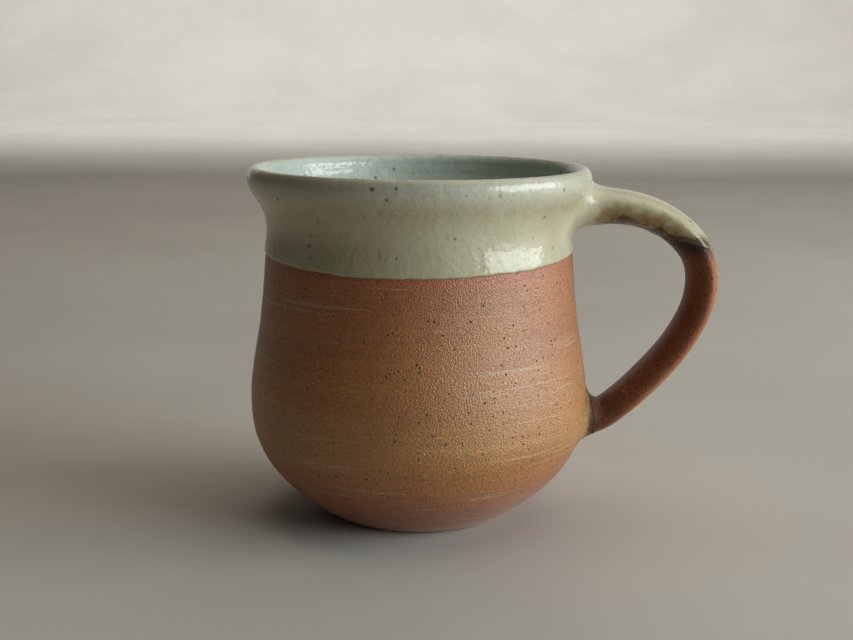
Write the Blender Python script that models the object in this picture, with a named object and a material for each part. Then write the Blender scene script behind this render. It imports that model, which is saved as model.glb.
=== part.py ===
"""A stoneware mug: thrown body, pulled strap handle, the two clay joins and three glaze coats.

Metres, +Z up. The origin is the centre of the flat base, on the mug's own axis, and the handle
points along +X. Touching pieces keep one named clearance between them.
"""

import math

import bmesh
import bpy
from mathutils import Vector

# Overall sizes of the glazed mug
HEIGHT = 0.0960
BELLY_RADIUS = 0.0467
BELLY_HEIGHT = 0.0330
BASE_RADIUS = 0.0242

# Shape of the clay side, measured down from the top of the lip
LIP_DROP = 0.0034
FLARE_DROP = 0.0086
NECK_DROP = 0.0170
GLAZE_LINE_DROP = 0.0222
SHOULDER_DROP = 0.0430
SHOULDER_IN = 0.0027     # how far each of these stands in from the belly
GLAZE_LINE_IN = 0.0046
NECK_IN = 0.0057
LIP_OUT = 0.0051         # how far the lip and the middle of the flare stand out from the neck
FLARE_OUT = 0.0029
FLARE_SLOPE = 0.70       # change of radius per unit of height
GLAZE_LINE_SLOPE = -0.10
SHOULDER_SLOPE = -0.155
BELLY_ROUNDNESS = 2.5    # exponent of the curve from the belly down to the base
BASE_CHAMFER = 0.0005

# Clay thickness
WALL = 0.0042
FLOOR = 0.0058
LIP_OUTER_ROUND = 0.0019  # crest of the lip, in from its outer edge
INNER_ROUNDNESS = 3.0     # exponent of the rounded floor inside

# Glaze and fits
GLAZE = 0.00045
CLEARANCE = 0.0003

# Pulled handle
HANDLE_TOP_DROP = 0.0117  # the lip's top to the upper root's centreline
HANDLE_FOOT = 0.0235      # the table to the lower root's centreline
HANDLE_REACH = 0.0312     # the belly to the outermost centreline
HANDLE_BEND = 0.0415      # the lower root to the outermost point
UPPER_ARM = 0.0195
UPPER_TILT = math.radians(10.0)
LOWER_ARM = 0.0165
LOWER_TILT = math.radians(31.0)
BEND_ARM_UP = 0.0130
BEND_ARM_DOWN = 0.0150
HANDLE_TAIL = 0.0160      # level run into the wall, trimmed at its surface
STRAP_WIDTHS = (0.0215, 0.0170, 0.0165)     # upper root, middle, lower root
STRAP_THICKNESSES = (0.0096, 0.0084, 0.0082)
STRAP_SQUARENESS = 2.4    # exponent of the oval section
STRAP_EDGE = 0.36         # how far its edges sit towards the flatter outer face, of half its thickness

# Clay pressed into the joins round the handle's roots
UPPER_JOIN_LENGTH = 0.0085
UPPER_JOIN_SPREAD = 0.0036
LOWER_JOIN_LENGTH = 0.0070
LOWER_JOIN_SPREAD = 0.0026
JOIN_EDGE = 0.0004
JOIN_RUN_OUT = 0.0040     # length over which the glaze settles from the join on to the strap

# Facets
TURNS = 44
STRAP_SIDES = 16
STRAP_RINGS = 22
JOIN_RINGS = 6

CREST_HEIGHT = HEIGHT - CLEARANCE - GLAZE
LIP_HEIGHT = HEIGHT - LIP_DROP
FLARE_HEIGHT = HEIGHT - FLARE_DROP
NECK_HEIGHT = HEIGHT - NECK_DROP
GLAZE_LINE = HEIGHT - GLAZE_LINE_DROP
SHOULDER_HEIGHT = HEIGHT - SHOULDER_DROP
NECK_RADIUS = BELLY_RADIUS - NECK_IN
CLAY_LIP = NECK_RADIUS + LIP_OUT


def hermite(z, low, high):
    """Radius at height z on the cubic between two (height, radius, slope) stations."""
    z0, r0, s0 = low
    z1, r1, s1 = high
    span = z1 - z0
    t = (z - z0) / span
    rise = t * t * (3 - 2 * t)
    start = t * (1 - t) ** 2 * span * s0
    end = t * t * (t - 1) * span * s1
    return r0 + (r1 - r0) * rise + start + end


def side_radius(z):
    """Outer radius of the clay at height z, up to the widest point of the lip."""
    if z <= BELLY_HEIGHT:
        below = max(0.0, (BELLY_HEIGHT - z) / BELLY_HEIGHT)
        return BASE_RADIUS + (BELLY_RADIUS - BASE_RADIUS) * (1 - min(1.0, below) ** BELLY_ROUNDNESS)
    stations = (
        (BELLY_HEIGHT, BELLY_RADIUS, 0.0),
        (SHOULDER_HEIGHT, BELLY_RADIUS - SHOULDER_IN, SHOULDER_SLOPE),
        (GLAZE_LINE, BELLY_RADIUS - GLAZE_LINE_IN, GLAZE_LINE_SLOPE),
        (NECK_HEIGHT, NECK_RADIUS, 0.0),
        (FLARE_HEIGHT, NECK_RADIUS + FLARE_OUT, FLARE_SLOPE),
        (LIP_HEIGHT, CLAY_LIP, 0.0),
    )
    for low, high in zip(stations, stations[1:]):
        if z <= high[0]:
            return hermite(z, low, high)
    return CLAY_LIP


def bowl_radius(z):
    """Inner radius of the clay at height z, below the lip."""
    if z >= BELLY_HEIGHT:
        return side_radius(z) - WALL
    below = min(1.0, (BELLY_HEIGHT - z) / (BELLY_HEIGHT - FLOOR))
    return (BELLY_RADIUS - WALL) * math.sqrt(1 - below ** INNER_ROUNDNESS)


def steps(start, stop, count):
    """count + 1 evenly spaced values from start to stop."""
    return [start + (stop - start) * i / count for i in range(count + 1)]


def outer_line():
    """Points up the outside of the clay, from the base's edge to the widest point of the lip."""
    heights = steps(BASE_CHAMFER, BELLY_HEIGHT, 8)
    heights += steps(BELLY_HEIGHT, GLAZE_LINE, 6)[1:]
    heights += steps(GLAZE_LINE, NECK_HEIGHT, 2)[1:]
    heights += steps(NECK_HEIGHT, LIP_HEIGHT, 6)[1:]
    return [(side_radius(z), z) for z in heights]


def lip_line():
    """Points over the lip, from its outer side to a clearance above the bowl's first point."""
    crest = CLAY_LIP - LIP_OUTER_ROUND
    rise = CREST_HEIGHT - LIP_HEIGHT
    last = math.pi - math.asin(CLEARANCE / rise)
    points = []
    for angle in steps(0.0, last, 8)[1:]:
        reach = LIP_OUTER_ROUND if angle < math.pi / 2 else WALL - LIP_OUTER_ROUND
        points.append((crest + reach * math.cos(angle), LIP_HEIGHT + rise * math.sin(angle)))
    return points


def bowl_line():
    """Points down the inside of the clay, from the lip to the middle of the floor."""
    heights = steps(LIP_HEIGHT, NECK_HEIGHT, 4)
    heights += steps(NECK_HEIGHT, BELLY_HEIGHT, 5)[1:]
    points = [(bowl_radius(z), z) for z in heights]
    for i in range(1, 9):
        angle = math.pi / 2 * i / 8
        z = BELLY_HEIGHT - (BELLY_HEIGHT - FLOOR) * math.sin(angle)
        points.append((bowl_radius(z), z))
    points[-1] = (0.0, FLOOR)
    return points


def offset(line, distance):
    """The line moved to its right, away from the clay, with any end on the axis kept there."""
    moved = []
    for i, (r, z) in enumerate(line):
        before = Vector(line[max(i - 1, 0)])
        after = Vector(line[min(i + 1, len(line) - 1)])
        along = (after - before).normalized()
        if r == 0.0:
            along = Vector((-1.0, 0.0))
        moved.append((r + along.y * distance, z - along.x * distance))
    return [(max(r, 0.0), z) for r, z in moved]


def material(name, color, roughness):
    made = bpy.data.materials.new(name)
    made.use_nodes = True
    shader = made.node_tree.nodes["Principled BSDF"]
    shader.inputs["Base Color"].default_value = (*color, 1.0)
    shader.inputs["Roughness"].default_value = roughness
    shader.inputs["Metallic"].default_value = 0.0
    return made


def finish(name, bm, look):
    """Turn the faces outward, shade them smooth and put the mesh in the scene."""
    bmesh.ops.remove_doubles(bm, verts=bm.verts, dist=1e-6)
    bmesh.ops.recalc_face_normals(bm, faces=bm.faces)
    mesh = bpy.data.meshes.new(name)
    bm.to_mesh(mesh)
    bm.free()
    mesh.shade_smooth()
    mesh.set_sharp_from_angle(angle=math.radians(40.0))
    made = bpy.data.objects.new(name, mesh)
    bpy.context.collection.objects.link(made)
    if look:
        mesh.materials.append(look)
    else:
        made.hide_render = True
        made.display_type = "WIRE"
    return made


def lathe(name, outline, look=None):
    """Turn an outline of (radius, height) points round the mug's axis; without a look, a cutter."""
    bm = bmesh.new()
    points = [bm.verts.new((r, 0.0, z)) for r, z in outline]
    edges = [bm.edges.new(pair) for pair in zip(points, points[1:])]
    if outline[0][0] > 0.0 or outline[-1][0] > 0.0:
        edges.append(bm.edges.new((points[-1], points[0])))
    bmesh.ops.spin(bm, geom=points + edges, cent=(0, 0, 0), axis=(0, 0, 1), dvec=(0, 0, 0),
                   angle=math.tau, steps=TURNS, use_merge=True, use_duplicate=False)
    return finish(name, bm, look)


def loft(name, rings, look=None):
    """Skin a list of rings of points and cap both ends; without a look, a cutter."""
    bm = bmesh.new()
    loops = [[bm.verts.new(point) for point in ring] for ring in rings]
    for near, far in zip(loops, loops[1:]):
        for i in range(len(near)):
            j = (i + 1) % len(near)
            bm.faces.new((near[i], near[j], far[j], far[i]))
    bm.faces.new(loops[0])
    bm.faces.new(loops[-1])
    return finish(name, bm, look)


def cut(piece, *cutters):
    for cutter in cutters:
        tool = piece.modifiers.new(f"clear of {cutter.name}", "BOOLEAN")
        tool.object = cutter
        tool.operation = "DIFFERENCE"
        tool.solver = "EXACT"


def bezier(points, t):
    """A point and its unit direction on the cubic through four control points."""
    a, b, c, d = points
    s = 1 - t
    place = a * s ** 3 + b * (3 * s * s * t) + c * (3 * s * t * t) + d * t ** 3
    along = (b - a) * (3 * s * s) + (c - b) * (6 * s * t) + (d - c) * (3 * t * t)
    return place, along.normalized()


def handle_curves():
    """The strap's centreline: one curve over the top to the bend, one back down to the belly."""
    top = HEIGHT - HANDLE_TOP_DROP
    upper_way = Vector((math.cos(UPPER_TILT), 0, math.sin(UPPER_TILT)))
    lower_way = Vector((math.cos(LOWER_TILT), 0, math.sin(LOWER_TILT)))
    upper = Vector((side_radius(top), 0, top))
    lower = Vector((side_radius(HANDLE_FOOT), 0, HANDLE_FOOT))
    bend = Vector((BELLY_RADIUS + HANDLE_REACH, 0, HANDLE_FOOT + HANDLE_BEND))
    up = Vector((0, 0, 1))
    over = (upper, upper + upper_way * UPPER_ARM, bend + up * BEND_ARM_UP, bend)
    back = (bend, bend - up * BEND_ARM_DOWN, lower + lower_way * LOWER_ARM, lower)
    return over, back


def handle_place(share):
    """Point and direction at a share of the strap; below 0 and above 1 it runs on into the wall."""
    over, back = handle_curves()
    outward = Vector((1, 0, 0))
    if share < 0.0:
        return over[0] + outward * (share * HANDLE_TAIL), outward
    if share > 1.0:
        return back[-1] - outward * ((share - 1) * HANDLE_TAIL), -outward
    if share <= 0.5:
        return bezier(over, share * 2)
    return bezier(back, share * 2 - 1)


def through(values, share):
    """The parabola through three values at shares 0, 1/2 and 1."""
    t = min(max(share, 0.0), 1.0)
    first, middle, last = values
    return first * (1 - t) * (1 - 2 * t) + middle * 4 * t * (1 - t) + last * t * (2 * t - 1)


def section(share, grow):
    """The strap's oval section at a share of its length, grown by grow all round."""
    place, along = handle_place(share)
    inward = Vector((0, 1, 0)).cross(along)
    half_width = through(STRAP_WIDTHS, share) / 2 + grow
    half_thickness = through(STRAP_THICKNESSES, share) / 2 + grow
    edge = -STRAP_EDGE * half_thickness
    power = 2 / STRAP_SQUARENESS
    ring = []
    for i in range(STRAP_SIDES):
        angle = math.tau * (i + 0.5) / STRAP_SIDES
        across = math.copysign(abs(math.cos(angle)) ** power, math.cos(angle)) * half_width
        side = math.copysign(1, math.sin(angle))
        rise = edge + abs(math.sin(angle)) ** power * (side * half_thickness - edge)
        ring.append(place + Vector((0, across, 0)) + inward * rise)
    return ring


def strap_length():
    places = [handle_place(share)[0] for share in steps(0.0, 1.0, 60)]
    return sum((b - a).length for a, b in zip(places, places[1:]))


def join_growth(share, from_top, grow):
    """Growth of the section inside a join: widest at the wall, fading along the strap."""
    length = UPPER_JOIN_LENGTH if from_top else LOWER_JOIN_LENGTH
    spread = UPPER_JOIN_SPREAD if from_top else LOWER_JOIN_SPREAD
    out = max(0.0, share if from_top else 1 - share) * strap_length()
    fade = max(0.0, 1 - out / length)
    past = min(1.0, max(0.0, out - length - CLEARANCE) / JOIN_RUN_OUT)
    return grow + (CLEARANCE + JOIN_EDGE) * (1 - past) + spread * fade ** 2


def join_shape(name, from_top, grow=0.0, look=None):
    """The flared collar of clay round one root of the strap, before it is cut."""
    length = (UPPER_JOIN_LENGTH if from_top else LOWER_JOIN_LENGTH) + grow
    reach = length / strap_length()
    shares = [-1.0] + steps(0.0, reach, JOIN_RINGS)
    if not from_top:
        shares = [1 - share for share in shares]
    rings = [section(share, join_growth(share, from_top, grow)) for share in shares]
    return loft(name, rings, look)


def strap_shape(name, grow=0.0, look=None):
    shares = [-1.0] + steps(0.0, 1.0, STRAP_RINGS) + [2.0]
    return loft(name, [section(share, grow) for share in shares], look)


def sleeve_shape(name, grow, look=None, longer=0.0):
    """Strap and upper join as one smooth shape, from inside the wall to below the glaze line."""
    shares = [-1.0 - longer] + steps(0.0, 0.6, STRAP_RINGS * 2 // 3) + [0.62 + longer]
    rings = []
    for share in shares:
        rings.append(section(share, join_growth(share, True, grow)))
    return loft(name, rings, look)


for old in list(bpy.data.objects):
    bpy.data.objects.remove(old)

raw_clay = material("raw stoneware", (0.36, 0.16, 0.07), 0.85)
handle_clay = material("handle stoneware", (0.28, 0.10, 0.05), 0.85)
join_clay = material("slip and joining clay", (0.40, 0.24, 0.13), 0.85)
celadon = material("celadon glaze", (0.47, 0.47, 0.38), 0.18)

outside = outer_line()
over_lip = lip_line()
inside = bowl_line()

# The thrown body: base, side, lip and bowl in one turned shape
base = [(0.0, 0.0), (side_radius(BASE_CHAMFER) - BASE_CHAMFER, 0.0)]
lathe("thrown_body", base + outside + over_lip + inside, raw_clay)

# Room that other pieces leave for the body: its outside, grown by the clearance and filled solid
below_base = -0.010
above_lip = HEIGHT + 0.010
grown = offset(outside, CLEARANCE)
room_line = [(0.0, below_base), (grown[0][0], below_base)] + grown
room_line += [(grown[-1][0], above_lip), (0.0, above_lip)]
body_room = lathe("body room", room_line)

# The pulled handle and the room it needs
handle = strap_shape("pulled_handle", look=handle_clay)
cut(handle, body_room)
handle_room = strap_shape("handle room", grow=CLEARANCE)

# The joins, cut clear of the body and of the strap
upper_join = join_shape("upper_join", True, look=join_clay)
cut(upper_join, body_room, handle_room)
lower_join = join_shape("lower_join", False, look=join_clay)
cut(lower_join, body_room, handle_room)

# The liner: glaze poured inside, from the floor's middle to just below the lip
liner_inner = offset(inside, CLEARANCE + GLAZE)
liner_outer = offset(inside, CLEARANCE)
lathe("liner_glaze", liner_inner[::-1] + liner_outer, celadon)

# The dipped coat on the neck: from the glaze line up over the lip to the liner's edge
dipped = [(side_radius(z), z) for z in steps(GLAZE_LINE, NECK_HEIGHT, 2)]
dipped += [point for point in outside if point[1] > NECK_HEIGHT + CLEARANCE] + over_lip
neck_glaze = lathe(
    "neck_glaze",
    offset(dipped, CLEARANCE) + offset(dipped, CLEARANCE + GLAZE)[::-1],
    celadon,
)

# The same dip on the handle: a sleeve over the upper join and the strap, cut off at the glaze line
coat_inner = CLEARANCE
coat_outer = CLEARANCE + GLAZE
sleeve = sleeve_shape("handle_glaze", coat_outer, celadon)
sleeve_core = sleeve_shape("sleeve core", coat_inner, longer=0.02)
sleeve_room = sleeve_shape("sleeve room", coat_outer + CLEARANCE)
below_line = lathe("below glaze line", [
    (0.0, below_base), (BELLY_RADIUS + 3 * HANDLE_REACH, below_base),
    (BELLY_RADIUS + 3 * HANDLE_REACH, GLAZE_LINE), (0.0, GLAZE_LINE),
])
cut(sleeve, sleeve_core, body_room, below_line)
cut(neck_glaze, sleeve_room)
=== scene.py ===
"""A hand-thrown stoneware mug: raw clay body, pulled handle, clay joins and a pale dipped glaze."""

import math

import bmesh
import bpy
from mathutils import Matrix, Vector, noise


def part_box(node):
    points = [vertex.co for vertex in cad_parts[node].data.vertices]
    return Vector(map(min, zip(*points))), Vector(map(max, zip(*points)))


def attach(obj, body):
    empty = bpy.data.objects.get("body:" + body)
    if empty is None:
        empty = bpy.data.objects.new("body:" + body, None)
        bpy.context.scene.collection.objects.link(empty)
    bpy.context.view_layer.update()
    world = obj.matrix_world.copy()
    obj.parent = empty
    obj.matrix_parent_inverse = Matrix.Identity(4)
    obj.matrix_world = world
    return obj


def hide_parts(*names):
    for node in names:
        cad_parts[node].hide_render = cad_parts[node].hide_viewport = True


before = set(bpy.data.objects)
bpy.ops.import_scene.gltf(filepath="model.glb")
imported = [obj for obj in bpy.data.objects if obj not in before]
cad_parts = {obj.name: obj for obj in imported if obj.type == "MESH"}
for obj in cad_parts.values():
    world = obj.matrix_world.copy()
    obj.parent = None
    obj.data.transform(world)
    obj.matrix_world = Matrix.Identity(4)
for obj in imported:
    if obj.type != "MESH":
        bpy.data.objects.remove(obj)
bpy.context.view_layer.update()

MM = 0.001

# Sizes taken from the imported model, a little inside it
INSIDE = 0.15 * MM
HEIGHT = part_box("neck_glaze")[1].z
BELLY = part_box("thrown_body")[1].x - INSIDE
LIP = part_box("neck_glaze")[1].y - INSIDE
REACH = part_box("pulled_handle")[1].x - INSIDE
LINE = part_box("neck_glaze")[0].z

# The turned side: heights and radii of its stations
BELLY_HEIGHT = 33.0 * MM
SHOULDER_HEIGHT = HEIGHT - 43.0 * MM
NECK_HEIGHT = HEIGHT - 17.0 * MM
FLARE_HEIGHT = HEIGHT - 8.6 * MM
LIP_HEIGHT = HEIGHT - 3.0 * MM
BASE = 24.2 * MM
BELLY_ROUNDNESS = 2.5
INNER_ROUNDNESS = 3.0
WALL = 4.2 * MM
LINE_RADIUS = BELLY - 4.6 * MM
FLOOR = 5.8 * MM
GLAZE = 0.35 * MM
LIP_ROUND = 2.0 * MM
POLE = 0.5 * MM            # radius of the smallest ring, at the middle of a floor
UNDER_COAT = 0.15 * MM     # how far the clay stays behind its coat

# The dip line leans: lower at the front, a little higher towards the handle
LINE_LEAN_X = 0.008
LINE_LEAN_Y = 0.060

# The strap: where its roots sit, how far it bends out and its section along the way
UPPER_ROOT = HEIGHT - 11.7 * MM
LOWER_ROOT = 23.5 * MM
BEND_HEIGHT = 65.0 * MM
UPPER_ARM = 20.0 * MM
UPPER_TILT = math.radians(13.0)
LOWER_ARM = 16.5 * MM
LOWER_TILT = math.radians(31.0)
BEND_ARM_UP = 13.0 * MM
BEND_ARM_DOWN = 15.0 * MM
STRAP_WIDTHS = (21.0 * MM, 17.0 * MM, 16.5 * MM)
STRAP_THICKNESSES = (10.1 * MM, 8.3 * MM, 8.0 * MM)
STRAP_SQUARENESS = 2.05    # 2 is an ellipse, more is boxier
STRAP_EDGE = 0.30          # how far the strap's edges sit towards its outer face, of half its thickness
STRAP_UNEVEN = 0.22 * MM
DIPPED_SHARES = (0.20, 0.37)   # shares of the strap between which its skin swells to bare thickness
PAST_WALL = 16.0 * MM      # length of strap that a share of 1 stands for inside a wall
UPPER_BURIED = -0.06       # shares at which the strap ends inside the walls
LOWER_BURIED = 1.10
CORE_SLIM = 1.2 * MM       # how much slimmer the strap is inside its lower join
SUNK = 0.40 * MM           # how deep a flare's first ring lies in the wall
SUNK_SHARE = 0.07          # share of the flare by which it has come up

AROUND = 192
STRAP_SIDES = 56
STRAP_STEPS = 130
SIDE_STEPS = 130


# ---------------------------------------------------------------- curves

def hermite(z, low, high):
    """Radius at height z on the cubic between two (height, radius, slope) stations."""
    z0, r0, s0 = low
    z1, r1, s1 = high
    span = z1 - z0
    t = (z - z0) / span
    rise = t * t * (3 - 2 * t)
    start = t * (1 - t) ** 2 * span * s0
    end = t * t * (t - 1) * span * s1
    return r0 + (r1 - r0) * rise + start + end


CLAY_SIDE = (
    (BELLY_HEIGHT, BELLY, 0.0),
    (SHOULDER_HEIGHT, BELLY - 2.6 * MM, -0.155),
    (LINE, BELLY - 4.75 * MM, -0.115),
    (NECK_HEIGHT, BELLY - 5.30 * MM, 0.0),
    (FLARE_HEIGHT, LIP - 2.7 * MM, 0.72),
    (LIP_HEIGHT, LIP - GLAZE, 0.0),
)


def clay_radius(z):
    """Outer radius of the bare clay at height z."""
    if z <= BELLY_HEIGHT:
        below = min(1.0, max(0.0, (BELLY_HEIGHT - z) / BELLY_HEIGHT))
        return BASE + (BELLY - BASE) * (1 - below ** BELLY_ROUNDNESS)
    for low, high in zip(CLAY_SIDE, CLAY_SIDE[1:]):
        if z <= high[0]:
            return hermite(z, low, high)
    return CLAY_SIDE[-1][1]


def bowl_radius(z):
    """Inner radius of the clay at height z."""
    if z >= BELLY_HEIGHT:
        return clay_radius(z) - WALL
    below = min(1.0, (BELLY_HEIGHT - z) / (BELLY_HEIGHT - FLOOR))
    return (BELLY - WALL) * math.sqrt(max(0.0, 1 - below ** INNER_ROUNDNESS))


def steps(start, stop, count):
    """Evenly spaced values from start to stop, both included."""
    return [start + (stop - start) * i / count for i in range(count + 1)]


def eased(t):
    """A smooth rise from 0 to 1, flat beyond both ends."""
    t = min(1.0, max(0.0, t))
    return t * t * (3 - 2 * t)


OVAL = 0.05 * MM
LOBES = 0.02 * MM
SPIRAL_RISE = 3.4          # mm that the throwing rings climb in one turn
SOFT_RING = 0.030 * MM
FINE_RING = 0.016 * MM
RING_BED = 0.07 * MM       # keeps the crests of the rings inside the true wall
LINE_WANDER = 0.35 * MM
LINE_RIPPLE = 0.14 * MM


def out_of_true(angle, z):
    """How far the hand-thrown wall wanders from a true circle, always inwards."""
    lift = min(1.0, z / HEIGHT)
    oval = math.cos(2 * angle + 0.6) - 1
    lobes = math.cos(3 * angle + 2.1 + 9 * z / HEIGHT) - 1
    return OVAL * oval * lift + LOBES * lobes


def throwing_lines(angle, z):
    """Soft rings left by the fingers, climbing in a slow spiral."""
    turn = z / MM - SPIRAL_RISE * angle / math.tau
    soft = math.sin(turn * math.tau / 11.0 + 0.8) + 0.6 * math.sin(turn * math.tau / 6.7)
    fine = math.sin(turn * math.tau / SPIRAL_RISE) * (0.6 + 0.4 * math.sin(z / MM * 0.31))
    return SOFT_RING * soft + FINE_RING * fine - RING_BED


def line_height(x, y):
    """Height of the dip line, which leans and wanders a little."""
    wander = noise.noise(Vector((x, y, 0)) * 90) * LINE_WANDER
    ripple = noise.noise(Vector((x, y, 3)) * 260) * LINE_RIPPLE
    return LINE + LINE_LEAN_X * x + LINE_LEAN_Y * y + wander + ripple


def around(radius_at, z, ridged=0.0, swell=0.0):
    """One ring of the turned wall; radius_at gives the radius at a height."""
    points = []
    for i in range(AROUND):
        angle = math.tau * i / AROUND
        r = radius_at(z) + swell + out_of_true(angle, z) + ridged * throwing_lines(angle, z)
        points.append(Vector((r * math.cos(angle), r * math.sin(angle), z)))
    return points


# ---------------------------------------------------------------- modelling

def draw_up(name, rings, joined=False, marks=None):
    """Extrude a circle from ring to ring; joined closes the last ring on the first.

    marks gives each ring a number that stays with its points as the attribute "along".
    """
    marks = marks or [0.0] * len(rings)
    bpy.ops.object.select_all(action="DESELECT")
    bpy.ops.mesh.primitive_circle_add(vertices=len(rings[0]), radius=BASE, location=(0, 0, 0))
    piece = bpy.context.object
    piece.name = name
    piece.data.name = name
    bpy.ops.object.mode_set(mode="EDIT")
    bpy.ops.mesh.select_mode(type="VERT")
    bpy.ops.mesh.select_all(action="SELECT")
    bm = bmesh.from_edit_mesh(piece.data)
    bm.verts.layers.int.new("place")
    bm.verts.layers.float.new("along")
    place = bm.verts.layers.int["place"]
    along = bm.verts.layers.float["along"]
    for i, vert in enumerate(bm.verts):
        vert[place] = i
        vert[along] = marks[0]
        vert.co = rings[0][i]
    for ring, mark in zip(rings[1:], marks[1:]):
        bpy.ops.mesh.extrude_region_move()
        bm = bmesh.from_edit_mesh(piece.data)
        place = bm.verts.layers.int["place"]
        along = bm.verts.layers.float["along"]
        for vert in bm.verts:
            if vert.select:
                vert[along] = mark
                vert.co = ring[vert[place]]
    if joined:
        bpy.ops.mesh.select_all(action="SELECT")
        bpy.ops.mesh.remove_doubles(threshold=1e-7)
    else:
        bpy.ops.mesh.edge_face_add()
        bpy.ops.mesh.select_all(action="DESELECT")
        bm = bmesh.from_edit_mesh(piece.data)
        for edge in bm.edges:
            if edge.is_boundary:
                edge.select_set(True)
        bpy.ops.mesh.edge_face_add()
    bpy.ops.mesh.select_all(action="SELECT")
    bpy.ops.mesh.normals_make_consistent(inside=False)
    bpy.ops.object.mode_set(mode="OBJECT")
    piece.data.attributes.remove(piece.data.attributes["place"])
    bpy.ops.object.shade_smooth()
    return piece


def paint(piece, name, value_at):
    """Give every point of the piece a value that its material can read."""
    marks = [item.value for item in piece.data.attributes["along"].data]
    values = [value_at(vert.co, mark) for vert, mark in zip(piece.data.vertices, marks)]
    layer = piece.data.attributes.new(name, "FLOAT", "POINT")
    layer.data.foreach_set("value", values)


def place(piece, node, slot, look):
    """Finish a piece: its material and the node it stands in for; slot is not used."""
    piece.data.materials.clear()
    piece.data.materials.append(look)
    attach(piece, "root")
    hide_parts(node)


# ---------------------------------------------------------------- the turned body

def body_rings():
    """Base, side, under the dipped neck, over the lip and down the bowl."""
    flat = (POLE, BASE * 0.4, BASE * 0.8, BASE - 1.0 * MM)
    rings = [around(lambda z, r=r: r, 0.0) for r in flat]
    rings.append(around(lambda z: BASE - 0.35 * MM, 0.05 * MM))
    rings.append(around(lambda z: BASE + 0.1 * MM, 0.35 * MM))
    for z in steps(0.8 * MM, LINE + 4 * MM, SIDE_STEPS):
        rings.append(around(clay_radius, z, ridged=eased(z / (6 * MM))))
    for z in steps(LINE + 5 * MM, LIP_HEIGHT, 12):
        rings.append(around(clay_radius, z, swell=-UNDER_COAT))
    crest = LIP - GLAZE - LIP_ROUND
    rise = HEIGHT - GLAZE - LIP_HEIGHT - 0.2 * MM
    for angle in steps(0.0, math.pi, 10)[1:-1]:
        reach = (LIP_ROUND if angle < math.pi / 2 else WALL - LIP_ROUND) - UNDER_COAT
        r = crest + reach * math.cos(angle)
        rings.append(around(lambda z, r=r: r, LIP_HEIGHT + rise * math.sin(angle)))
    for z in steps(LIP_HEIGHT, BELLY_HEIGHT, 24):
        rings.append(around(bowl_radius, z, swell=0.1 * MM))
    for angle in steps(0.0, math.pi / 2, 14)[1:-1]:
        rings.append(around(bowl_radius, BELLY_HEIGHT - (BELLY_HEIGHT - FLOOR) * math.sin(angle)))
    rings.append(around(lambda z: POLE, FLOOR))
    return rings


# ---------------------------------------------------------------- the glaze coats

def coat_radius(z):
    """Outer radius of the glazed neck, with the lip's outer round."""
    return clay_radius(z) + GLAZE


# The neck coat's rolled lower edge: height above the dip line and how proud it stands, in mm
ROLLED_EDGE = (
    (0.00, 0.02), (0.03, 0.16), (0.14, 0.30), (0.34, 0.38), (0.70, 0.41),
    (1.3, 0.39), (2.0, 0.36), (2.8, 0.35), (3.8, 0.35), (5.0, 0.35),
)
BACK_OF_COAT = 0.1 * MM    # how far the coats' hidden backs stand off the clay
TURNED_IN = 5 * MM         # how far down inside the lip the neck coat goes


def neck_coat_rings():
    """Up the outside from the rolled lower edge, over the lip, a little way in, and back inside."""
    rings = []
    for up, out in ROLLED_EDGE:
        ring = []
        for i in range(AROUND):
            angle = math.tau * i / AROUND
            c, s = math.cos(angle), math.sin(angle)
            foot = line_height(LINE_RADIUS * c, LINE_RADIUS * s)
            z = foot + up * MM
            r = clay_radius(z) + out * MM + out_of_true(angle, z)
            ring.append(Vector((r * c, r * s, z)))
        rings.append(ring)
    above_edge = rings[-1]
    for t in steps(0.0, 1.0, 26)[1:]:
        ring = []
        for i, base in enumerate(above_edge):
            angle = math.tau * i / AROUND
            z = base.z + (LIP_HEIGHT - base.z) * t
            r = coat_radius(z) + out_of_true(angle, z)
            ring.append(Vector((r * math.cos(angle), r * math.sin(angle), z)))
        rings.append(ring)
    crest = LIP - LIP_ROUND
    rise = HEIGHT - LIP_HEIGHT
    for angle in steps(0.0, math.pi, 16)[1:]:
        reach = LIP_ROUND if angle < math.pi / 2 else WALL - LIP_ROUND + GLAZE
        r = crest + reach * math.cos(angle)
        rings.append(around(lambda z, r=r: r, LIP_HEIGHT + rise * math.sin(angle)))
    low = LIP_HEIGHT - TURNED_IN
    for z in steps(LIP_HEIGHT, low, 6)[1:]:
        rings.append(around(bowl_radius, z, swell=-GLAZE))
    rings.append(around(bowl_radius, low, swell=-BACK_OF_COAT))
    for z in steps(low, LIP_HEIGHT, 3)[1:]:
        rings.append(around(bowl_radius, z, swell=-BACK_OF_COAT))
    for angle in steps(math.pi, 0.0, 6)[1:-1]:
        reach = (LIP_ROUND if angle < math.pi / 2 else WALL - LIP_ROUND + GLAZE) - GLAZE
        r = crest + reach * math.cos(angle)
        rings.append(around(lambda z, r=r: r, LIP_HEIGHT + (rise - GLAZE) * math.sin(angle)))
    for t in steps(0.0, 1.0, 8)[:-1]:
        ring = []
        for i, base in enumerate(rings[0]):
            angle = math.tau * i / AROUND
            z = LIP_HEIGHT + (base.z + 0.3 * MM - LIP_HEIGHT) * t
            r = clay_radius(z) + BACK_OF_COAT + out_of_true(angle, z)
            ring.append(Vector((r * math.cos(angle), r * math.sin(angle), z)))
        rings.append(ring)
    rings.append([point.copy() for point in rings[0]])
    return rings


INNER_RIDGES = 0.8         # strength of the throwing rings that show through the liner


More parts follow.
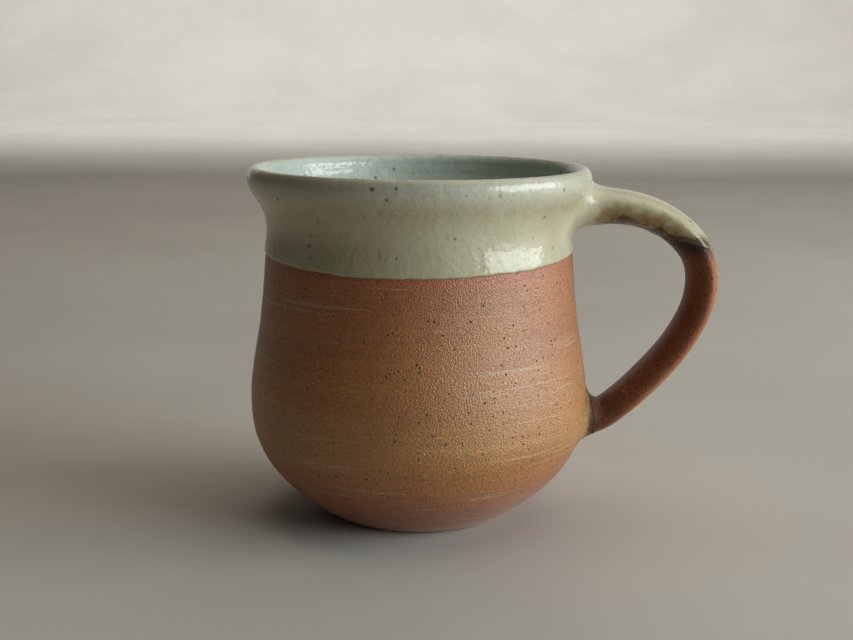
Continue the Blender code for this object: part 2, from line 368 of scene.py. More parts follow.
def liner_rings():
    """The poured coat: up the bowl's inside from the floor's middle, feathered out under the lip."""
    top = LIP_HEIGHT - 3 * MM
    rings = [around(lambda z: POLE, FLOOR + GLAZE)]
    for angle in steps(math.pi / 2, 0.0, 36)[1:]:
        z = BELLY_HEIGHT - (BELLY_HEIGHT - FLOOR) * math.sin(angle)
        rings.append(around(bowl_radius, z, swell=-GLAZE, ridged=INNER_RIDGES))
        if angle > 0.9:
            for point in rings[-1]:
                point.z += GLAZE * math.sin(angle)
    for z in steps(BELLY_HEIGHT, top, 60)[1:]:
        fade = eased((top - z) / (9 * MM))
        rings.append(around(bowl_radius, z, swell=-GLAZE - 0.03 * MM, ridged=INNER_RIDGES * fade))
    rings.append(around(bowl_radius, top + 0.25 * MM, swell=-GLAZE))
    rings.append(around(bowl_radius, top + 0.3 * MM, swell=-0.2 * MM))
    for z in steps(top, BELLY_HEIGHT, 8):
        rings.append(around(bowl_radius, z, swell=-UNDER_COAT))
    for angle in steps(0.0, math.pi / 2, 10)[1:-1]:
        z = BELLY_HEIGHT - (BELLY_HEIGHT - FLOOR) * math.sin(angle)
        rings.append(around(bowl_radius, z, swell=-BACK_OF_COAT))
    rings.append(around(lambda z: POLE, FLOOR + BACK_OF_COAT))
    return rings


# ---------------------------------------------------------------- the strap handle

def bezier(points, t):
    """Point and direction on the cubic curve through four handles."""
    a, b, c, d = points
    s = 1 - t
    spot = a * s ** 3 + b * (3 * s * s * t) + c * (3 * s * t * t) + d * t ** 3
    way = (b - a) * (3 * s * s) + (c - b) * (6 * s * t) + (d - c) * (3 * t * t)
    return spot, way.normalized()


def handle_curves():
    """The strap's centreline: one curve over the top to the bend, one back down to the belly."""
    upper_way = Vector((math.cos(UPPER_TILT), 0, math.sin(UPPER_TILT)))
    lower_way = Vector((math.cos(LOWER_TILT), 0, math.sin(LOWER_TILT)))
    upper = Vector((clay_radius(UPPER_ROOT), 0, UPPER_ROOT))
    lower = Vector((clay_radius(LOWER_ROOT), 0, LOWER_ROOT))
    bend = Vector((REACH - STRAP_THICKNESSES[1] / 2, 0, BEND_HEIGHT))
    up = Vector((0, 0, 1))
    over = (upper, upper + upper_way * UPPER_ARM, bend + up * BEND_ARM_UP, bend)
    back = (bend, bend - up * BEND_ARM_DOWN, lower + lower_way * LOWER_ARM, lower)
    return over, back


OVER, BACK = handle_curves()


def handle_place(share):
    """Point and direction at a share of the strap, from the upper root at 0 to the lower at 1."""
    if share < 0.0:
        return OVER[0] + Vector((share * PAST_WALL, 0, 0)), Vector((1, 0, 0))
    if share > 1.0:
        return BACK[-1] - Vector(((share - 1) * PAST_WALL, 0, 0)), Vector((-1, 0, 0))
    if share <= 0.5:
        return bezier(OVER, share * 2)
    return bezier(BACK, share * 2 - 1)


def through(values, share):
    """The parabola through three values at shares 0, 1/2 and 1."""
    t = min(max(share, 0.0), 1.0)
    first, middle, last = values
    return first * (1 - t) * (1 - 2 * t) + middle * 4 * t * (1 - t) + last * t * (2 * t - 1)


def strap_point(share, turn, grow=0.0):
    """A point of the strap's skin: turn goes round the section, 0 on the far edge."""
    spot, way = handle_place(share)
    out = way.cross(Vector((0, 1, 0)))
    half_width = through(STRAP_WIDTHS, share) / 2 + grow
    half_thickness = through(STRAP_THICKNESSES, share) / 2 + grow
    power = 2 / STRAP_SQUARENESS
    across = math.copysign(abs(math.cos(turn)) ** power, math.cos(turn)) * half_width
    outwards = math.copysign(1 - STRAP_EDGE * math.copysign(1, math.sin(turn)), math.sin(turn))
    rise = (STRAP_EDGE + abs(math.sin(turn)) ** power * outwards) * half_thickness
    uneven = noise.noise(Vector((share * 9, math.cos(turn), math.sin(turn)))) * STRAP_UNEVEN
    return spot + Vector((0, across, 0)) + out * (rise + uneven * math.sin(turn))


def strap_skin(share, turn, over=0.0):
    """The bare strap, a coat's thickness slimmer where it was dipped."""
    start, stop = DIPPED_SHARES
    dipped = 1 - eased((share - start) / (stop - start))
    return strap_point(share, turn, over - GLAZE * dipped)


TURNS_OF_STRAP = [math.tau * (i + 0.5) / STRAP_SIDES for i in range(STRAP_SIDES)]
FLARE_ARM = 0.42           # how long the flare's curve holds its two directions, of its length


class Root:
    """One end of the strap, where its skin flares out on to the wall."""

    def __init__(self, centre, high, low, wide, leave, sign, wall, fill=0.0):
        self.centre = centre      # height of the footprint's middle
        self.high = high          # footprint's reach up, down and to each side
        self.low = low
        self.wide = wide
        self.leave = leave        # share of the strap at which the flare begins
        self.sign = sign          # +1 at the upper root, where shares grow away from the wall
        self.wall = wall
        self.fill = fill          # how much fuller the flare is on its upper side

    def foot(self, turn, grow=0.0):
        """Where this side of the flare meets the wall, and the way in along the wall from there."""
        across = math.cos(turn)
        rise = math.sin(turn) * self.sign
        tall = (self.high if rise > 0 else self.low) + grow
        z = self.centre + rise * tall
        angle = across * (self.wide + grow) / clay_radius(self.centre)
        spot = Vector((self.wall(z) * math.cos(angle), self.wall(z) * math.sin(angle), z))
        z_in = self.centre + rise * (tall - 1 * MM)
        angle_in = across * (self.wide + grow - 1 * MM) / clay_radius(self.centre)
        r_in = self.wall(z_in)
        inner = Vector((r_in * math.cos(angle_in), r_in * math.sin(angle_in), z_in))
        return spot, (inner - spot).normalized()

    def flare(self, turn, t, grow=0.0):
        """From the wall at t = 0 to the strap at t = 1, leaving both smoothly."""
        foot, inward = self.foot(turn, grow)
        start = strap_point(self.leave, turn, grow)
        before = strap_point(self.leave + self.sign * 0.01, turn, grow)
        back = (start - before).normalized()
        gap = (foot - start).length
        arm = gap * (FLARE_ARM - self.fill * max(0.0, math.sin(turn) * self.sign))
        return bezier((foot, foot + inward * arm, start + back * gap * FLARE_ARM, start), t)[0]

    def sunk_ring(self, t, lift=0.0):
        """The flare's ring at t, its first part sunk so that it rises out of the wall without a step."""
        sunk = lift + SUNK * max(0.0, 1 - t / SUNK_SHARE) ** 2
        return ring_of(lambda turn: self.flare(turn, t) - Vector((sunk, 0, 0)))


UPPER = Root(centre=UPPER_ROOT - 0.3 * MM, high=9.2 * MM, low=8.7 * MM, wide=17.5 * MM,
             leave=0.105, sign=1, wall=coat_radius, fill=0.17)
LOWER = Root(centre=LOWER_ROOT + 0.6 * MM, high=12.2 * MM, low=7.6 * MM, wide=11.8 * MM,
             leave=0.915, sign=-1, wall=clay_radius, fill=0.22)
UPPER_CLAY = Root(centre=UPPER_ROOT - 0.3 * MM, high=7.6 * MM, low=7.6 * MM, wide=14.0 * MM,
                  leave=0.105, sign=1, wall=clay_radius)
JOIN_END = 0.52            # how far up the lower flare the pressed-on clay goes


def ring_of(point_at):
    """A ring of the strap's section, from a function that gives its point at a turn."""
    return [point_at(turn) for turn in TURNS_OF_STRAP]


def strap_rings():
    """The bare strap, from inside one wall to inside the other."""
    rings = [ring_of(lambda turn: strap_skin(UPPER_BURIED, turn))]
    for share in steps(0.0, UPPER.leave, 4):
        rings.append(ring_of(lambda turn: strap_skin(share, turn)))
    for share in steps(UPPER.leave, LOWER.leave, STRAP_STEPS)[1:]:
        rings.append(ring_of(lambda turn: strap_skin(share, turn)))
    for t in steps(1.0, JOIN_END, 10)[1:]:
        rings.append(ring_of(lambda turn: LOWER.flare(turn, t)))

    def stepped_in(turn):
        return LOWER.flare(turn, JOIN_END - 0.01).lerp(strap_point(0.97, turn), 0.16)

    rings.append(ring_of(stepped_in))
    for share in steps(0.965, 1.0, 4) + [LOWER_BURIED]:
        rings.append(ring_of(lambda turn: strap_point(share, turn, -CORE_SLIM)))
    return rings


JOIN_SLIM = 0.9 * MM       # how much slimmer than the strap the collar's hollow is
JOIN_DEPTH = 1.2 * MM      # how deep the collar's back lies in the wall


def join_rings(root, end, lift, core, near, inside):
    """The collar of clay pressed round a root: out over the flare and back along the strap.

    core, near and inside are shares of the strap: where the tip turns in and where the hollow runs.
    """
    shares = [0.0, 0.02, 0.04, 0.06] + steps(0.08, end, 14)
    rings = [root.sunk_ring(t, lift) for t in shares]
    rings.append([point.lerp(handle_place(core)[0], 0.10) for point in rings[-1]])
    rings.append(ring_of(lambda turn: strap_point(near, turn, -JOIN_SLIM)))
    rings.append(ring_of(lambda turn: strap_point(inside, turn, -JOIN_SLIM)))
    rings.append(ring_of(lambda turn: root.foot(turn)[0] - Vector((JOIN_DEPTH, 0, 0))))
    rings.append([point.copy() for point in rings[0]])
    marks = [t / end for t in shares]
    return rings, marks + [1.0] * (len(rings) - len(marks) - 1) + [0.0]


def share_at(turn, height):
    """Share of the strap at which this side of its skin comes down to a height."""
    low, high = 0.2, 0.7
    for _ in range(24):
        middle = (low + high) / 2
        if strap_point(middle, turn).z > height:
            low = middle
        else:
            high = middle
    return low


SLEEVE_ABOVE = 1.6 * MM    # the strap's dip line against the neck's
SLEEVE_DIP = 2.4 * MM
SLEEVE_WANDER = 0.5 * MM
# The coat's rolled end: share of its length on the strap and how proud it stands, in mm
SLEEVE_ROLL = (
    (0.90, 0.38), (0.93, 0.38), (0.95, 0.40), (0.965, 0.40),
    (0.978, 0.34), (0.989, 0.20), (0.996, 0.06), (1.0, -0.08),
)
SLEEVE_BACK = 0.04 * MM    # how far the coat's hidden back stands off the strap
SLEEVE_DEPTH = 0.3 * MM    # how deep its back lies in the wall


def sleeve_line(turn):
    """The dip line's height on the strap: it runs lower on the outside of the bend."""
    outward = math.sin(turn)
    wander = noise.noise(Vector((math.cos(turn) * 1.7, math.sin(turn) * 1.7, 5)))
    return LINE + SLEEVE_ABOVE - SLEEVE_DIP * outward + SLEEVE_WANDER * wander


def handle_coat_rings():
    """The dipped coat: from the neck, over the flare and along the strap to its rolled edge."""
    rings = [UPPER.sunk_ring(t) for t in [0.0, 0.02, 0.04, 0.06, 0.08] + steps(0.1, 1.0, 20)]
    ends = {turn: share_at(turn, sleeve_line(turn)) for turn in TURNS_OF_STRAP}

    def skin(t, turn, over):
        return strap_skin(UPPER.leave + (ends[turn] - UPPER.leave) * t, turn, over)

    marks = [0.0] * len(rings)
    for t in steps(0.0, 0.86, 34)[1:]:
        rings.append(ring_of(lambda turn: skin(t, turn, GLAZE)))
        marks.append(t)
    for t, proud in SLEEVE_ROLL:
        rings.append(ring_of(lambda turn: skin(t, turn, proud * MM)))
        marks.append(t)
    for t in (0.985, 0.7, 0.4, 0.0):
        rings.append(ring_of(lambda turn: skin(t, turn, SLEEVE_BACK)))
        marks.append(t)
    rings.append(ring_of(lambda turn: strap_skin(0.0, turn, SLEEVE_BACK)))
    rings.append(ring_of(lambda turn: UPPER_CLAY.foot(turn)[0] - Vector((SLEEVE_DEPTH, 0, 0))))
    rings.append([point.copy() for point in rings[0]])
    return rings, marks + [0.0] * 3


# ---------------------------------------------------------------- finishes

SMALLEST_SPOT = 0.35       # the least spot's radius, of the size asked for


class Look:
    """A material being wired up."""

    def __init__(self, name):
        self.material = bpy.data.materials.new(name)
        self.material.use_nodes = True
        self.tree = self.material.node_tree
        self.shader = self.tree.nodes["Principled BSDF"]
        self.spot = self.add("ShaderNodeTexCoord").outputs["Object"]

    def add(self, kind, **settings):
        """A new node of a kind, with its settings."""
        node = self.tree.nodes.new(kind)
        for name, value in settings.items():
            setattr(node, name, value)
        return node

    def set(self, socket, value):
        """Link a socket to another, or give it a constant."""
        if isinstance(value, bpy.types.NodeSocket):
            self.tree.links.new(value, socket)
        else:
            socket.default_value = value

    def stretched(self, scale):
        """Place on the piece, scaled differently along each axis."""
        node = self.add("ShaderNodeMapping")
        self.set(node.inputs["Vector"], self.spot)
        node.inputs["Scale"].default_value = scale
        return node.outputs["Vector"]

    def speckle(self, scale, detail=3.0, rough=0.6, where=None, shift=0.0):
        """Cloudy noise with scale patches to the metre; shift picks another pattern."""
        node = self.add("ShaderNodeTexNoise")
        node.noise_dimensions = "4D"
        self.set(node.inputs["Vector"], where or self.spot)
        node.inputs["Scale"].default_value = scale
        node.inputs["Detail"].default_value = detail
        node.inputs["Roughness"].default_value = rough
        node.inputs["W"].default_value = shift
        return node.outputs["Fac"]

    def spots(self, cell, size, share, soft=0.3):
        """Scattered round spots: cell is their spacing, size their radius, share how many show."""
        node = self.add("ShaderNodeTexVoronoi")
        self.set(node.inputs["Vector"], self.spot)
        node.inputs["Scale"].default_value = 1 / cell
        split = self.add("ShaderNodeSeparateColor")
        self.set(split.inputs["Color"], node.outputs["Color"])
        shown = self.math("LESS_THAN", split.outputs["Red"], share)
        size = size / cell
        radius = self.math("MULTIPLY_ADD", split.outputs["Green"], size, SMALLEST_SPOT * size)
        edge = self.math("MULTIPLY", radius, 1 + soft)
        near = self.range(node.outputs["Distance"], edge, radius, 0.0, 1.0)
        return self.math("MULTIPLY", near, shown)

    def math(self, operation, a, b, c=None):
        node = self.add("ShaderNodeMath", operation=operation)
        self.set(node.inputs[0], a)
        self.set(node.inputs[1], b)
        if c is not None:
            self.set(node.inputs[2], c)
        return node.outputs[0]

    def range(self, value, low, high, to_low=0.0, to_high=1.0):
        """Carry low..high smoothly over to to_low..to_high, held at both ends."""
        node = self.add("ShaderNodeMapRange")
        node.interpolation_type = "SMOOTHSTEP"
        for name, given in (("Value", value), ("From Min", low), ("From Max", high),
                            ("To Min", to_low), ("To Max", to_high)):
            self.set(node.inputs[name], given)
        return node.outputs["Result"]

    def mix(self, share, a, b, blend="MIX"):
        """Colour a, with a share of b laid over it."""
        node = self.add("ShaderNodeMix", data_type="RGBA", blend_type=blend)
        self.set(node.inputs["Factor"], share)
        self.set(node.inputs[6], (*a, 1.0) if isinstance(a, tuple) else a)
        self.set(node.inputs[7], (*b, 1.0) if isinstance(b, tuple) else b)
        return node.outputs[2]

    def height(self):
        """Height above the floor, in metres."""
        split = self.add("ShaderNodeSeparateXYZ")
        self.set(split.inputs[0], self.spot)
        return split.outputs["Z"]

    def value(self, name):
        """A value painted on the piece."""
        return self.add("ShaderNodeAttribute", attribute_name=name).outputs["Fac"]

    def bands(self, value, stops):
        """Colours blended between (value, colour) stops."""
        node = self.add("ShaderNodeValToRGB")
        self.set(node.inputs["Fac"], value)
        ramp = node.color_ramp
        ramp.elements[0].position, ramp.elements[0].color = stops[0][0], (*stops[0][1], 1)
        ramp.elements[1].position, ramp.elements[1].color = stops[-1][0], (*stops[-1][1], 1)
        for position, color in stops[1:-1]:
            ramp.elements.new(position).color = (*color, 1)
        return node.outputs["Color"]

    def bump(self, height, distance, strength=1.0, under=None):
        """Fine relief of a given depth, on top of another where under is given."""
        node = self.add("ShaderNodeBump")
        node.inputs["Strength"].default_value = strength
        node.inputs["Distance"].default_value = distance
        self.set(node.inputs["Height"], height)
        if under:
            self.set(node.inputs["Normal"], under)
        return node.outputs["Normal"]

    def finish(self, color, roughness, normal=None):
        """Connect what the shader takes from the patterns and hand the material over."""
        self.set(self.shader.inputs["Base Color"], color)
        self.set(self.shader.inputs["Roughness"], roughness)
        if normal:
            self.set(self.shader.inputs["Normal"], normal)
        return self.material


# Clay colours
DUSTY = (0.72, 0.52, 0.38)
# Painted shade in the turning rings' troughs, painted highlight on their crests and on fine grooves
RING_PAINTED_SHADE = (0.70, 0.66, 0.62)
RING_PAINTED_HIGHLIGHT = (1.25, 1.24, 1.20)
GROOVE_PAINTED_HIGHLIGHT = (0.62, 0.46, 0.30)
PITS = (0.46, 0.38, 0.32)
SAND = (1.45, 1.38, 1.22)
GROG = (0.70, 0.50, 0.32)
IRON = (0.030, 0.010, 0.005)
FINE_IRON = (0.035, 0.013, 0.006)
NEAR_LINE = (0.45, 0.105, 0.018)
# The belly's bands, from the foot up: height as a share of the whole, and colour; the dark band just
# above the foot is painted shade
BELLY_BANDS_AND_FOOT_SHADE = (
    (0.00, (0.50, 0.25, 0.080)),
    (0.04, (0.34, 0.092, 0.009)),
    (0.14, (0.42, 0.140, 0.018)),
    (0.28, (0.50, 0.225, 0.042)),
    (0.40, (0.48, 0.200, 0.036)),
    (0.58, (0.46, 0.170, 0.030)),
    (0.76, (0.44, 0.145, 0.025)),
)
STRAP_RED = (0.44, 0.15, 0.050)
STRAP_ORANGE = (0.54, 0.21, 0.075)
# The next two are painted shade: on faces turned towards the fingers, and low on the strap by the belly
STRAP_PAINTED_SHADE = (0.150, 0.046, 0.018)
STRAP_LOW_PAINTED_SHADE = (0.060, 0.020, 0.008)
# Partly scorch, partly painted shade on the strap's side faces under the glaze
SCORCH_AND_SHADE = (0.018, 0.006, 0.003)
SLIP_DARK = (0.37, 0.22, 0.09)
SLIP_PALE = (0.48, 0.31, 0.14)
SLIP_AT_WALL = (0.49, 0.21, 0.048)
# Painted shade at the joining clay's tip, where it meets the strap
SLIP_TIP_PAINTED_SHADE = (0.060, 0.024, 0.009)


def clay_surface(look, tone, gloss=1.0, turned=1.0):
    """The grain, grog, iron and turning marks that all the bare clay shares, with painted shade and
    painted highlight along the turning rings.

    Returns colour, roughness and normal; turned is how strongly the turning marks and their painted
    shade and highlight show.
    """
    grain = look.speckle(2900, 3.0, 0.65)
    sand = look.speckle(2100, 2.0, 0.55, shift=2.0)
    rings = look.speckle(1.0, 5.0, 0.75, look.stretched((16, 16, 700)))
    groove_highlight = look.speckle(1.0, 2.0, 0.5, look.stretched((22, 22, 950)), shift=3.0)
    blush = look.speckle(60, 3.0, 0.55, shift=5.0)
    color = look.mix(look.range(blush, 0.35, 0.7, 0.0, 0.4), tone, DUSTY, "MULTIPLY")
    # Painted shade and highlight along the turning rings, then painted highlight lines on fine grooves
    color = look.mix(look.range(rings, 0.35, 0.50, 0.45 * turned, 0.0), color, RING_PAINTED_SHADE, "MULTIPLY")
    color = look.mix(look.range(rings, 0.50, 0.68, 0.0, 0.45 * turned), color, RING_PAINTED_HIGHLIGHT, "MULTIPLY")
    color = look.mix(look.range(groove_highlight, 0.60, 0.70, 0.0, 0.42 * turned), color, GROOVE_PAINTED_HIGHLIGHT)
    color = look.mix(look.range(grain, 0.44, 0.62, 0.0, 0.90), color, PITS, "MULTIPLY")
    color = look.mix(look.range(sand, 0.5, 0.68, 0.0, 0.65), color, SAND, "MULTIPLY")
    iron = look.spots(1.7 * MM, 0.22 * MM, 0.85)
    fine_iron = look.spots(1.0 * MM, 0.12 * MM, 0.85)
    grog = look.spots(1.4 * MM, 0.12 * MM, 0.5)
    color = look.mix(look.math("MULTIPLY", grog, 0.55), color, GROG)
    color = look.mix(look.math("MULTIPLY", iron, 0.90), color, IRON)
    color = look.mix(look.math("MULTIPLY", fine_iron, 0.80), color, FINE_IRON)
    normal = look.bump(rings, 0.12 * MM, 0.6 * turned)
    normal = look.bump(sand, 0.25 * MM, 1.0, normal)
    normal = look.bump(grain, 0.14 * MM, 1.0, normal)
    normal = look.bump(look.math("SUBTRACT", grog, iron), 0.10 * MM, 0.9, normal)
    rough = look.range(grain, 0.3, 0.7, 0.38, 0.50)
    rough = look.math("MAXIMUM", rough, look.math("MAXIMUM", iron, fine_iron))
    look.shader.inputs["Specular IOR Level"].default_value = 0.92 * gloss
    look.shader.inputs["IOR"].default_value = 1.58
    look.shader.inputs["Sheen Weight"].default_value = 0.25 * gloss
    look.shader.inputs["Sheen Roughness"].default_value = 0.35
    return color, rough, normal


def raw_body_look():
    """The belly: orange clay, paler half-way up, darkened just above the foot with painted shade, redder
    by the glaze and rougher at the foot.
    """
    look = Look("raw stoneware")
    level = look.math("DIVIDE", look.height(), HEIGHT)
    drift = look.speckle(22, 2.0, 0.5, shift=9.0)
    level = look.math("MULTIPLY_ADD", drift, 0.10, look.math("SUBTRACT", level, 0.05))
    # Colour bands by height, with painted shade in the dark band just above the foot
    tone = look.bands(level, BELLY_BANDS_AND_FOOT_SHADE)
    tone = look.mix(look.math("MULTIPLY", look.value("near_line"), 0.8), tone, NEAR_LINE)
    color, rough, normal = clay_surface(look, tone)
    rough = look.math("MAXIMUM", rough, look.range(level, 0.06, 0.24, 0.92, 0.40))
    return look.finish(color, rough, normal)


def handle_clay_look():
    """The bare strap: redder than the belly, with painted shade on the faces turned towards the fingers
    and low down by the belly, and a dark band under the glaze that is partly scorch and partly painted
    shade on the side faces.
    """
    look = Look("handle stoneware")
    drift = look.speckle(70, 2.0, 0.5, shift=4.0)
    tone = look.mix(look.range(drift, 0.35, 0.65), STRAP_RED, STRAP_ORANGE)
    # Painted shade on the strap's faces turned towards the fingers, away from the window
    shade = look.range(look.value("outward"), 0.0, 0.50, 0.85, 0.0)
    tone = look.mix(shade, tone, STRAP_PAINTED_SHADE)
    # Painted shade low on the strap, on its inner faces where it comes down to the belly
    low = look.range(look.height(), 24 * MM, 36 * MM, 0.75, 0.0)
    low = look.math("MULTIPLY", low, look.range(look.value("outward"), -0.2, 0.7, 1.0, 0.1))
    tone = look.mix(low, tone, STRAP_LOW_PAINTED_SHADE)
    # A dark band under the glaze line, strongest on the side faces: partly scorch, partly painted shade
    below = look.math("SUBTRACT", LINE + 3.0 * MM, look.height())
    scorch_and_shade = look.range(below, 2.0 * MM, 6.5 * MM, 1.0, 0.0)
    scorch_and_shade = look.math("MULTIPLY", scorch_and_shade, look.range(look.value("outward"), 0.0, 0.9, 0.95, 0.10))
    tone = look.mix(scorch_and_shade, tone, SCORCH_AND_SHADE)
    color, rough, normal = clay_surface(look, tone, gloss=0.3, turned=0.0)
    return look.finish(color, rough, normal)


def join_clay_look():
    """The clay pressed round the roots: like the wall beside it, then pale, then darkened at its tip
    with painted shade where it meets the strap.
    """
    look = Look("slip and joining clay")
    drift = look.speckle(160, 3.0, 0.6, shift=6.0)
    tone = look.mix(look.range(drift, 0.35, 0.65), SLIP_DARK, SLIP_PALE)
    along = look.math("MULTIPLY_ADD", drift, 0.5, look.math("SUBTRACT", look.value("along"), 0.25))
    tone = look.mix(look.range(along, 0.0, 0.25, 1.0, 0.0), tone, SLIP_AT_WALL)
    # Painted shade darkening the collar towards its tip against the strap
    tone = look.mix(look.range(along, 0.50, 0.95, 0.0, 0.95), tone, SLIP_TIP_PAINTED_SHADE)
    color, rough, normal = clay_surface(look, tone, gloss=0.15, turned=0.0)
    return look.finish(color, rough, normal)


# Glaze colours
CELADON = (0.50, 0.480, 0.340)
CELADON_WARM = (0.45, 0.410, 0.255)
# Painted light: paler, greyer glaze on the upward-facing lip
CELADON_LIP_PAINTED_LIGHT = (0.49, 0.50, 0.41)
# The poured inside colours carry a painted bluish sky reflection
POURED_SKY_REFLECTION = (0.54, 0.63, 0.59)
POURED_WARM_SKY_REFLECTION = (0.49, 0.56, 0.49)
MOTTLED = (0.34, 0.26, 0.13)
OLIVE = (0.23, 0.155, 0.045)
BROWN = (0.050, 0.022, 0.010)
SPOT_HALO = (0.20, 0.12, 0.05)
SPOT_CORE = (0.07, 0.045, 0.03)
SPOT_DOT = (0.12, 0.08, 0.045)


def glaze_look():
    """Pale celadon, paler by the lip with painted light, bluer inside the bowl with a painted sky
    reflection, olive and brown where it runs thin and where painted shade is laid on.
    """
    look = Look("celadon glaze")
    cloud = look.speckle(38, 3.0, 0.55, shift=1.0)
    fine = look.speckle(900, 2.0, 0.5, shift=7.0)
    outer = look.mix(look.range(cloud, 0.35, 0.68), CELADON, CELADON_WARM)
    # Painted light on the upward-facing lip, where the light falls
    lip_painted_light = look.range(look.height(), HEIGHT - 9 * MM, HEIGHT - 2 * MM, 0.0, 0.8)
    outer = look.mix(lip_painted_light, outer, CELADON_LIP_PAINTED_LIGHT)
    # Inside the bowl: poured glaze colour with a painted bluish sky reflection
    poured_reflection = look.mix(look.range(cloud, 0.35, 0.68), POURED_SKY_REFLECTION, POURED_WARM_SKY_REFLECTION)
    color = look.mix(look.value("poured_reflection"), outer, poured_reflection)
    color = look.mix(look.range(fine, 0.4, 0.7, 0.0, 0.12), color, MOTTLED)
    thin_and_shade = look.math("MULTIPLY_ADD", cloud, 0.3, look.math("SUBTRACT", look.value("thin_and_shade"), 0.15))
    mottle = look.range(look.speckle(300, 3.0, 0.6, shift=11.0), 0.3, 0.7, 0.70, 1.35)
    thin_and_shade = look.math("MULTIPLY", thin_and_shade, mottle)
    # Olive and brown where the glaze runs thin; in the hollows and on the strap's inner faces this is
    # painted shade
    color = look.mix(look.range(thin_and_shade, 0.10, 0.65, 0.0, 0.9), color, OLIVE)
    color = look.mix(look.range(thin_and_shade, 0.65, 1.10, 0.0, 0.9), color, BROWN)
    halo = look.spots(2.8 * MM, 0.38 * MM, 0.32, soft=1.2)
    core = look.spots(2.8 * MM, 0.25 * MM, 0.32, soft=0.5)
    dots = look.spots(1.6 * MM, 0.12 * MM, 0.30, soft=0.8)
    color = look.mix(look.math("MULTIPLY", halo, 0.40), color, SPOT_HALO)
    color = look.mix(look.math("MULTIPLY", core, 0.80), color, SPOT_CORE)
    color = look.mix(look.math("MULTIPLY", dots, 0.60), color, SPOT_DOT)
    dimple = look.speckle(640, 2.0, 0.5, shift=3.0)
    ripple = look.speckle(240, 2.0, 0.5, shift=8.0)
    normal = look.bump(ripple, 0.30 * MM, 0.8)
    normal = look.bump(dimple, 0.16 * MM, 1.0, normal)
    look.set(look.shader.inputs["Coat Normal"], normal)
    look.shader.inputs["Coat Weight"].default_value = 0.65
    look.shader.inputs["Coat Roughness"].default_value = 0.11
    look.shader.inputs["Specular IOR Level"].default_value = 0.5
    look.shader.inputs["IOR"].default_value = 1.5
    rough = look.range(fine, 0.3, 0.7, 0.46, 0.58)
    rough = look.math("MAXIMUM", rough, look.range(thin_and_shade, 0.6, 1.0, 0.4, 0.85))
    return look.finish(color, rough, normal)


# ---------------------------------------------------------------- pieces

raw_body = raw_body_look()
strap_clay = handle_clay_look()
join_clay = join_clay_look()
celadon = glaze_look()


def nearness_to_line(point, mark):
    """1 at the dip line, falling to 0 a little way below it."""
    return 1 - eased((line_height(point.x, point.y) - point.z) / (3.5 * MM))


body = draw_up("mug_body", body_rings())
paint(body, "near_line", nearness_to_line)
place(body, "thrown_body", "raw_stoneware", raw_body)

CENTRES = [handle_place(share) for share in steps(0.0, 1.0, 160)]


def outwardness(point, mark=0.0):
    """1 on the strap's outer face, -1 on the face towards the fingers."""
    spot, way = min(CENTRES, key=lambda centre: (centre[0] - point).length_squared)
    return (point - spot).normalized().dot(way.cross(Vector((0, 1, 0))))


strap = draw_up("strap_handle", strap_rings())
paint(strap, "outward", outwardness)
place(strap, "pulled_handle", "handle_stoneware", strap_clay)

rings, marks = join_rings(UPPER_CLAY, end=0.9, lift=0.5 * MM, core=0.06, near=0.03, inside=-0.06)
upper_join = draw_up("upper_root_clay", rings, joined=True, marks=marks)
place(upper_join, "upper_join", "joining_clay", join_clay)
rings, marks = join_rings(LOWER, end=JOIN_END, lift=0.0, core=0.95, near=0.97, inside=1.08)
lower_join = draw_up("lower_root_clay", rings, joined=True, marks=marks)
place(lower_join, "lower_join", "joining_clay", join_clay)

HOLLOW_HEIGHT = 7 * MM     # how far above and below its middle a hollow's painted shade goes


def hollow_painted_shade(point):
    """Painted shade and a painted warm reflection, as thin-glaze olive, in the hollow under the lip and
    round the handle's upper root.
    """
    hollow = eased(1 - abs(point.z - FLARE_HEIGHT) / HOLLOW_HEIGHT)
    by_root = eased((point.x - 36 * MM) / (6 * MM))
    under_root = by_root * eased(1 - abs(point.z - NECK_HEIGHT) / HOLLOW_HEIGHT)
    return max(0.18 * hollow, 0.30 * under_root)


def neck_thinness_and_shade(point, mark):
    """Thin at the rolled lower edge and on the crest of the lip, with painted shade in the hollow."""
    up = point.z - line_height(point.x, point.y)
    edge = 0.60 * (1 - eased(up / (0.8 * MM)))
    low = 0.16 * (1 - eased(up / (5 * MM)))
    crest = 0.20 * eased((point.z - HEIGHT + 1.2 * MM) / (1.2 * MM))
    return max(edge, low, crest, hollow_painted_shade(point))


def inwards(point, mark):
    """1 on the bowl's side of the lip, 0 on its outside."""
    middle = clay_radius(min(point.z, LIP_HEIGHT)) - WALL / 2
    return eased((middle - math.hypot(point.x, point.y)) / (2 * MM) + 0.3)


neck_coat = draw_up("neck_coat", neck_coat_rings(), joined=True)
paint(neck_coat, "thin_and_shade", neck_thinness_and_shade)
paint(neck_coat, "poured_reflection", inwards)
place(neck_coat, "neck_glaze", "celadon_glaze", celadon)

liner = draw_up("liner_coat", liner_rings())
paint(liner, "thin_and_shade", lambda point, mark: 0.0)
paint(liner, "poured_reflection", lambda point, mark: 1.0)
place(liner, "liner_glaze", "celadon_glaze", celadon)

UPPER_FLARE_END = 44.5 * MM


def sleeve_thinness_and_shade(point, mark):
    """Glaze runs thin round the strap's edges and underside, and brown at its lower edge; the
    olive-brown on the faces turned towards the fingers, and the darker brown at the lower edge on the
    side faces, are partly painted shade.
    """
    out = outwardness(point)
    away = eased((point.x - UPPER_FLARE_END) / (7 * MM))
    # The sides' olive-brown and the lower edge's brown on the side faces are partly painted shade
    sides = 1.08 * eased((0.70 - out) / 1.35) * away
    edge = (1.30 - 0.85 * max(0.0, out)) * eased((mark - 0.74) / 0.18)
    return max(sides, edge, hollow_painted_shade(point) * (1 - away))


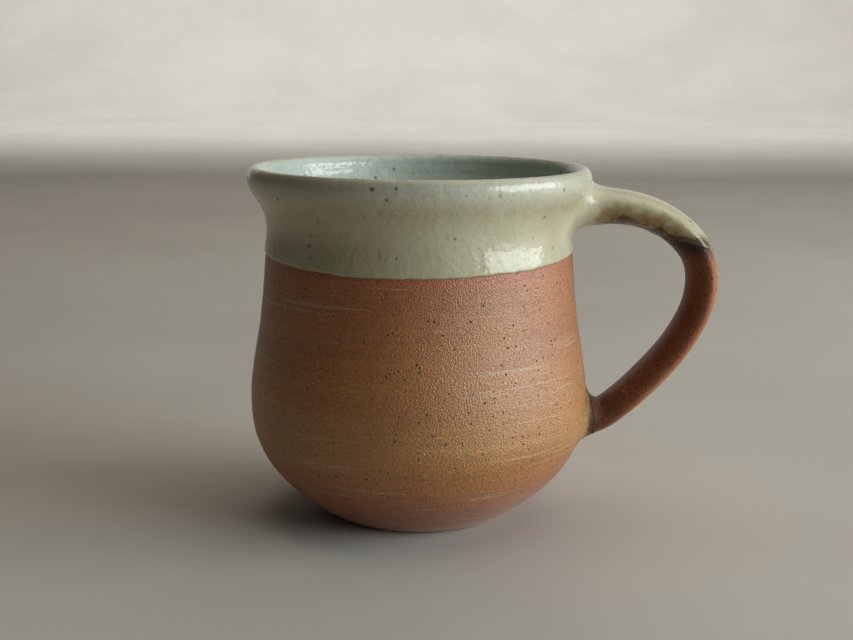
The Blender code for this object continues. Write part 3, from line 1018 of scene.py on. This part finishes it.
rings, marks = handle_coat_rings()
handle_coat = draw_up("handle_coat", rings, joined=True, marks=marks)
paint(handle_coat, "thin_and_shade", sleeve_thinness_and_shade)
paint(handle_coat, "poured_reflection", lambda point, mark: 0.0)
place(handle_coat, "handle_glaze", "celadon_glaze", celadon)

# ---------------------------------------------------------------- the studio

FLOOR_SIZE = 4.0
FLOOR_MIDDLE = (0, 1.0, -0.0002)
BACKDROP_HEIGHT = 3.0
COVE = 0.8
PAPER = (0.52, 0.50, 0.47)
PAPER_PALE = (0.57, 0.55, 0.52)

bpy.ops.object.select_all(action="DESELECT")
bpy.ops.mesh.primitive_plane_add(size=FLOOR_SIZE, location=FLOOR_MIDDLE)
floor = bpy.context.object
floor.name = "studio_floor"
bpy.ops.object.mode_set(mode="EDIT")
bpy.ops.mesh.select_all(action="DESELECT")
bm = bmesh.from_edit_mesh(floor.data)
for edge in bm.edges:
    edge.select_set(all(vert.co.y > 0 for vert in edge.verts))
bpy.ops.mesh.extrude_region_move(TRANSFORM_OT_translate={"value": (0, 0, BACKDROP_HEIGHT)})
bpy.ops.object.mode_set(mode="OBJECT")
bevel = floor.modifiers.new("Cove", "BEVEL")
bevel.width = COVE
bevel.segments = 16
bpy.ops.object.modifier_apply(modifier=bevel.name)
bpy.ops.object.shade_smooth()
paper = Look("pale paper")
paper_tone = paper.mix(paper.range(paper.speckle(6, 3.0), 0.3, 0.7), PAPER, PAPER_PALE)
floor.data.materials.append(paper.finish(paper_tone, 0.85))


def soft_light(name, spot, target, width, height, watts, color):
    """A rectangular lamp at spot, turned towards target."""
    light = bpy.data.lights.new(name, "AREA")
    light.shape = "RECTANGLE"
    light.size = width
    light.size_y = height
    light.energy = watts
    light.color = color
    lamp = bpy.data.objects.new(name, light)
    bpy.context.scene.collection.objects.link(lamp)
    lamp.location = spot
    lamp.rotation_euler = (Vector(target) - Vector(spot)).to_track_quat("-Z", "Y").to_euler()


MIDDLE = (0, 0, 0.05)
soft_light("window", (1.08, -0.31, 0.33), MIDDLE,
           width=1.10, height=0.60, watts=15.8, color=(0.93, 1.0, 1.01))
soft_light("ceiling", (0.30, 0.35, 1.30), MIDDLE,
           width=1.6, height=1.6, watts=8.0, color=(1.0, 0.89, 0.71))
soft_light("backdrop", (0.0, 1.70, 1.10), (0.0, 3.0, 0.35),
           width=3.0, height=0.8, watts=34.0, color=(1.0, 0.99, 0.96))

world = bpy.data.worlds.new("soft room")
bpy.context.scene.world = world
world.use_nodes = True
room = world.node_tree.nodes["Background"]
room.inputs["Color"].default_value = (0.95, 0.86, 0.72, 1)
room.inputs["Strength"].default_value = 0.03
bpy.context.scene.view_settings.view_transform = "Standard"

CAMERA_SPOT = (2.1 * MM, -381.4 * MM, 125.8 * MM)
CAMERA_PITCH = math.radians(90 - 10.76)
CAMERA_ROLL = math.radians(0.36)

camera = bpy.data.cameras.new("camera")
camera.sensor_width = 36.0
camera.lens = 59.1
camera.clip_start = 0.01
viewer = bpy.data.objects.new("camera", camera)
bpy.context.scene.collection.objects.link(viewer)
viewer.matrix_world = (
    Matrix.Translation(CAMERA_SPOT)
    @ Matrix.Rotation(CAMERA_PITCH, 4, "X")
    @ Matrix.Rotation(CAMERA_ROLL, 4, "Z")
)
bpy.context.scene.camera = viewer
